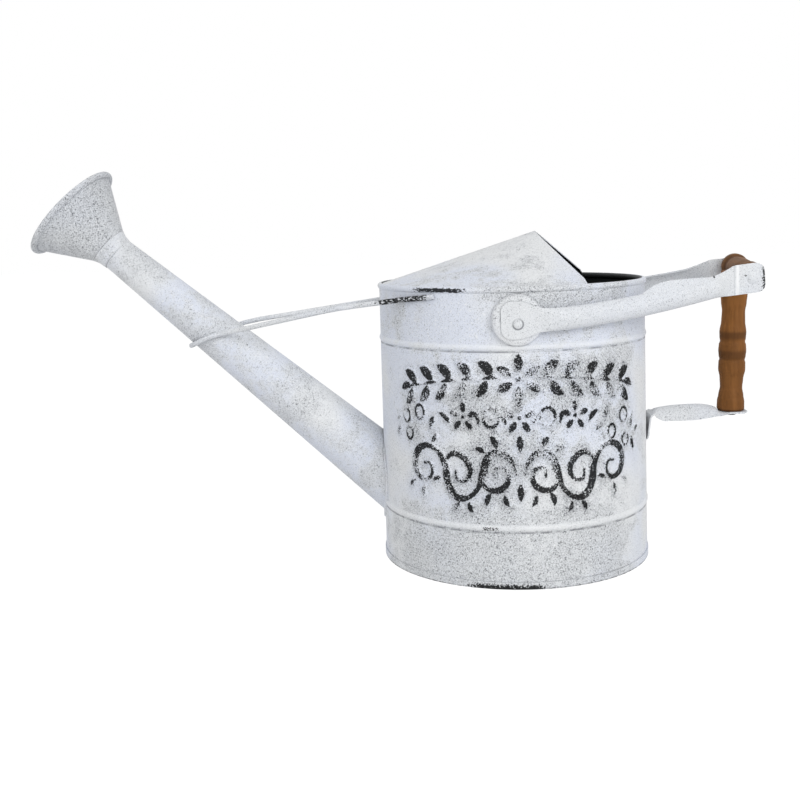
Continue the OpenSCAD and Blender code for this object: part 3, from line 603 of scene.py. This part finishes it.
def relief_panel(material):
    """The pressed front of the wall: a closed skin just proud of the sheet, raised along the strokes."""
    arcs = np.arange(PANEL_ARC[0], PANEL_ARC[1], PANEL_STEP)
    heights = np.arange(PANEL_Z[0], PANEL_Z[1], PANEL_STEP)
    arc, height = np.meshgrid(arcs, heights)
    depth = stroke_depth(garland() + middle_row() + scrolls() + sprigs(), arc, height)
    edge = np.minimum.reduce([arc - arcs[0], arcs[-1] - arc, height - heights[0], heights[-1] - height])
    raised = RELIEF * eased(depth, -1.6, 1.5) + PANEL_PROUD * (2 * eased(edge, 0, PANEL_EDGE) - 1)
    angle = arc * MM / WALL_R
    radius = WALL_R + raised * MM
    front = np.column_stack([(radius * np.sin(angle)).ravel(), (-radius * np.cos(angle)).ravel(),
                             (height * MM).ravel()])
    rows, columns = arc.shape
    back_r = WALL_R - SHEET / 2
    back = [(back_r * math.sin(a), -back_r * math.cos(a), z * MM)
            for z in (heights[0], heights[-1]) for a in angle[0]]
    points = np.vstack([front, back])
    index = np.arange(rows * columns).reshape(rows, columns)
    faces = np.column_stack([index[:-1, :-1].ravel(), index[:-1, 1:].ravel(),
                             index[1:, 1:].ravel(), index[1:, :-1].ravel()]).tolist()
    low, high = rows * columns, rows * columns + columns
    for i in range(columns - 1):
        faces.append((low + i, low + i + 1, index[0, i + 1], index[0, i]))
        faces.append((index[-1, i], index[-1, i + 1], high + i + 1, high + i))
        faces.append((high + i, high + i + 1, low + i + 1, low + i))
    faces.append([int(v) for v in index[:, 0]] + [high, low])
    faces.append([int(v) for v in index[::-1, -1]] + [low + columns - 1, high + columns - 1])
    made = piece("relief_panel", points, faces, material)
    for name, low_depth, high_depth in (("relief", -0.9, 1.3), ("halo", -7.0, 0.5)):
        values = np.zeros(len(points), np.float32)
        values[:rows * columns] = eased(depth, low_depth, high_depth).ravel()
        made.data.attributes.new(name, "FLOAT", "POINT").data.foreach_set("value", values)
    return made


# The joint of the spout and the rose, in metres and degrees, as in the CAD
SPOUT_END = Vector((-0.3123, 0, 0.2424))
ROSE_ANGLE = 44
# The solder's outline, as (along the rose's axis, radius) in millimetres
SOLDER_OUTLINE = [(-5.0, 13.7), (-3.5, 14.0), (-1.5, 14.3), (0.0, 14.5), (1.5, 14.8), (3.0, 15.3),
                  (4.4, 15.9), (5.2, 16.3), (4.6, 15.0), (0.0, 13.6), (-4.6, 13.2)]


def solder_ring(material):
    """The solder that rounds off the joint of the spout and the rose, turned about the rose's axis."""
    angle = math.radians(ROSE_ANGLE)
    axis = Vector((-math.cos(angle), 0, math.sin(angle)))
    side = Vector((0, 1, 0))
    above = axis.cross(side)
    around = 96
    points = []
    for i in range(around):
        a = 2 * math.pi * i / around
        spoke = math.cos(a) * side + math.sin(a) * above
        points += [SPOUT_END + (along * axis + radius * spoke) * MM for along, radius in SOLDER_OUTLINE]
    count = len(SOLDER_OUTLINE)
    faces = []
    for i in range(around):
        this, after = i * count, (i + 1) % around * count
        for j in range(count):
            k = (j + 1) % count
            faces.append((this + j, after + j, after + k, this + k))
    return piece("rose_solder", points, faces, material)


# Studio

# The camera, fitted to the photo's outlines: metres, radians, and millimetres for the lens
CAMERA_PLACE = (-0.03647, -0.8423, 0.257)
CAMERA_YAW, CAMERA_PITCH, CAMERA_ROLL = 0.05937, 0.08105, -0.02805
CAMERA_LENS = 48.56
CAMERA_SHIFT_Y = -0.110
# Where the lamps point
LIT_POINT = Vector((-0.03, 0, 0.13))
# The light that the surroundings give, beside the white that the camera sees
SURROUND = 0.54
FLOOR_HALF = 6.0
# How much of the floor's white is its own, and how bright, as the camera sees it
FLOOR_GLOW_SHARE = 0.84
FLOOR_GLOW = 1.12


def studio():
    bpy.context.scene.view_settings.view_transform = "Standard"
    camera()
    lamp("key", (0.9, -1.6, 1.0), 1.6, 21)
    lamp("fill", (-1.6, -0.9, 0.8), 1.4, 6)
    lamp("top", (-0.2, 0.3, 1.9), 1.6, 4)
    world()
    floor()


def camera():
    made = bpy.data.objects.new("camera", bpy.data.cameras.new("camera"))
    bpy.context.scene.collection.objects.link(made)
    bpy.context.scene.camera = made
    forward = Vector((-math.sin(CAMERA_YAW) * math.cos(CAMERA_PITCH),
                      math.cos(CAMERA_YAW) * math.cos(CAMERA_PITCH), -math.sin(CAMERA_PITCH)))
    level = Vector((math.cos(CAMERA_YAW), math.sin(CAMERA_YAW), 0))
    above = level.cross(forward)
    right = math.cos(CAMERA_ROLL) * level + math.sin(CAMERA_ROLL) * above
    up = -math.sin(CAMERA_ROLL) * level + math.cos(CAMERA_ROLL) * above
    turn = Matrix((right, up, -forward)).transposed()
    made.matrix_world = Matrix.Translation(CAMERA_PLACE) @ turn.to_4x4()
    made.data.sensor_width = 36
    made.data.lens = CAMERA_LENS
    made.data.shift_y = CAMERA_SHIFT_Y
    made.data.clip_start = 0.01


def lamp(name, place, size, power):
    light = bpy.data.lights.new(name, "AREA")
    light.shape = "DISK"
    light.size = size
    light.energy = power
    made = bpy.data.objects.new(name, light)
    bpy.context.scene.collection.objects.link(made)
    aim = LIT_POINT - Vector(place)
    made.matrix_world = Matrix.Translation(place) @ aim.to_track_quat("-Z", "Y").to_matrix().to_4x4()


def seen_directly(tree):
    """1 for camera, mirror and glass rays, so that they all meet the same white."""
    path = tree.nodes.new("ShaderNodeLightPath")
    total = path.outputs["Is Camera Ray"]
    for kind in ("Is Glossy Ray", "Is Transmission Ray"):
        both = tree.nodes.new("ShaderNodeMath")
        both.operation = "ADD"
        both.use_clamp = True
        tree.links.new(total, both.inputs[0])
        tree.links.new(path.outputs[kind], both.inputs[1])
        total = both.outputs[0]
    return total


def world():
    made = bpy.data.worlds.new("studio")
    bpy.context.scene.world = made
    made.use_nodes = True
    tree = made.node_tree
    background = tree.nodes["Background"]
    background.inputs["Color"].default_value = (1, 1, 1, 1)
    strength = tree.nodes.new("ShaderNodeMapRange")
    strength.inputs["To Min"].default_value = SURROUND
    strength.inputs["To Max"].default_value = 1.0
    tree.links.new(seen_directly(tree), strength.inputs["Value"])
    tree.links.new(strength.outputs[0], background.inputs["Strength"])


def floor():
    corners = [(x * FLOOR_HALF, y * FLOOR_HALF, 0) for x, y in ((-1, -1), (1, -1), (1, 1), (-1, 1))]
    mesh = bpy.data.meshes.new("floor")
    mesh.from_pydata(corners, [], [(0, 1, 2, 3)])
    made = bpy.data.objects.new("floor", mesh)
    bpy.context.scene.collection.objects.link(made)
    made.location.z = SHELL_LOW.z
    material = bpy.data.materials.new("floor")
    material.use_nodes = True
    tree = material.node_tree
    plain = tree.nodes["Principled BSDF"]
    plain.inputs["Base Color"].default_value = (0.8, 0.8, 0.8, 1)
    plain.inputs["Roughness"].default_value = 0.9
    glow = tree.nodes.new("ShaderNodeEmission")
    mix = tree.nodes.new("ShaderNodeMixShader")
    share = tree.nodes.new("ShaderNodeMath")
    share.operation = "MULTIPLY"
    share.inputs[1].default_value = FLOOR_GLOW_SHARE
    glow.inputs["Strength"].default_value = FLOOR_GLOW
    tree.links.new(seen_directly(tree), share.inputs[0])
    tree.links.new(share.outputs[0], mix.inputs[0])
    tree.links.new(plain.outputs[0], mix.inputs[1])
    tree.links.new(glow.outputs[0], mix.inputs[2])
    tree.links.new(mix.outputs[0], tree.nodes["Material Output"].inputs["Surface"])
    made.data.materials.append(material)


# The finished object

def finish_of(material, *names):
    """Gives CAD nodes a material in place of their plain one."""
    for name in names:
        for slot in nodes[name].material_slots:
            slot.material = material


def paint_all():
    """Dresses the painted steel and adds the two pieces that are modelled here."""
    body_paint = whitewash("body_paint", corner_shade=0.6, cleaner=body_cleaner, wear=body_wear,
                           streaks=rim_streaks, highlight=bead_highlights, shade_line=bead_shadows, inside=body_inside, ink=True)
    hood_paint = whitewash("hood_paint", pepper=1.05, cleaner=lambda n: 0.06, inside=hood_inside)
    spout_paint = whitewash("spout_paint", pepper=0.8, corner_shade=0.6)
    rose_paint = whitewash("rose_paint", worn=0.8, pepper=1.1, corner_shade=0.3)
    wire_paint = whitewash("wire_paint", worn=0.5, pepper=0.6, corner_shade=1.5, streaks=wire_streaks)
    handle_paint = whitewash("handle_paint", worn=0.8, pepper=0.4, corner_shade=0.6, highlight_strength=0.85, wear=tab_wear,
                             highlight=crimp_highlight, shade_line=handle_shade_lines)
    strut_paint = whitewash("strut_paint", worn=0.8, pepper=0.6, corner_shade=0.8)
    finish_of(body_paint, "body_shell", "base_plate", "ear_front", "ear_back")
    finish_of(hood_paint, "hood")
    finish_of(spout_paint, "spout")
    finish_of(rose_paint, "rose_cone", "rose_face")
    finish_of(wire_paint, "brace_wire")
    finish_of(handle_paint, "arm_front", "arm_back", "ear_rivet_front", "ear_rivet_back",
              "top_grip_screw_front", "top_grip_screw_back")
    finish_of(strut_paint, "lower_strut")
    relief_panel(body_paint)
    solder_ring(spout_paint)


def stain_grips():
    """Dark bands above the rear grip's two grooves and at its foot, and in the top grip's grooves."""
    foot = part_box("rear_grip")[0].z
    rear_bands = [(foot + 58.5 * MM, 5 * MM), (foot + 43.5 * MM, 6 * MM), (foot, 3 * MM)]
    top_bands = [(-21 * MM, 4 * MM), (21 * MM, 4 * MM)]
    finish_of(wood("rear_wood", "Z", rear_bands, lower=foot + 54 * MM), "rear_grip")
    finish_of(wood("top_wood", "Y", top_bands, grey=0.45), "top_grip")
    finish_of(dark_steel("screw_steel"), "rear_grip_screw")


paint_all()
stain_grips()
studio()
